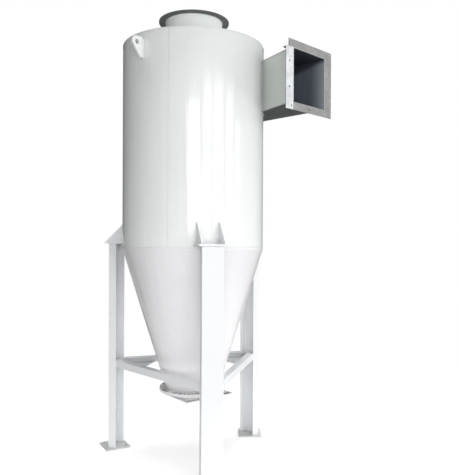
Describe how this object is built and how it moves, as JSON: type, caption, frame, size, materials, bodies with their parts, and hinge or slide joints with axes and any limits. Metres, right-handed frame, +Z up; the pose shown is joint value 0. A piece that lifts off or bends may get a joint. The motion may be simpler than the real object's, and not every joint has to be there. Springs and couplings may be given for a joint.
{
  "type": "cyclone dust collector",
  "caption": "Cyclone dust separator: steel barrel and cone on three channel legs, tangential inlet duct, round top outlet, square bottom discharge.",
  "frame": {"origin": "on the cyclone's vertical axis at floor level, in the plane under the foot plates", "axes": "+Z up along the cyclone axis; +X is the way the inlet duct points; the duct is tangent to the barrel on its +Y side"},
  "size_m": [1.4198, 1.3236, 3.1],
  "materials": {
    "body_paint": "gloss white enamel",
    "frame_paint": "semi-gloss light grey-white enamel",
    "duct_paint": "satin grey-green primer",
    "flange_primer": "matt dark grey primer",
    "zinc_plate": "dull zinc-plated steel",
    "bare_steel": "bare mill-finish steel"
  },
  "bodies": {
    "root": {"barrel_shell": "body_paint", "roof_plate": "body_paint", "cone_shell": "body_paint", "outlet_pipe": "body_paint", "cone_flange": "body_paint", "spout_flange": "body_paint", "discharge_spout": "body_paint", "discharge_plate": "body_paint", "outlet_flange": "flange_primer", "lifting_lug_front": "body_paint", "lifting_lug_back": "body_paint", "inlet_duct_top": "duct_paint", "inlet_duct_bottom": "duct_paint", "inlet_duct_inner": "duct_paint", "inlet_duct_outer": "duct_paint", "inlet_angle_top": "bare_steel", "inlet_angle_bottom": "bare_steel", "inlet_angle_inner": "bare_steel", "inlet_angle_outer": "bare_steel", "neck_bolts": "zinc_plate", "leg_left": "frame_paint", "foot_plate_left": "frame_paint", "cap_plate_left": "frame_paint", "gusset_left_1": "frame_paint", "gusset_left_2": "frame_paint", "corner_plate_left": "frame_paint", "brace_opposite_left": "frame_paint", "leg_right": "frame_paint", "foot_plate_right": "frame_paint", "cap_plate_right": "frame_paint", "gusset_right_1": "frame_paint", "gusset_right_2": "frame_paint", "corner_plate_right": "frame_paint", "brace_opposite_right": "frame_paint", "leg_back": "frame_paint", "foot_plate_back": "frame_paint", "cap_plate_back": "frame_paint", "gusset_back_1": "frame_paint", "gusset_back_2": "frame_paint", "corner_plate_back": "frame_paint", "brace_opposite_back": "frame_paint"}
  },
  "joints": []
}
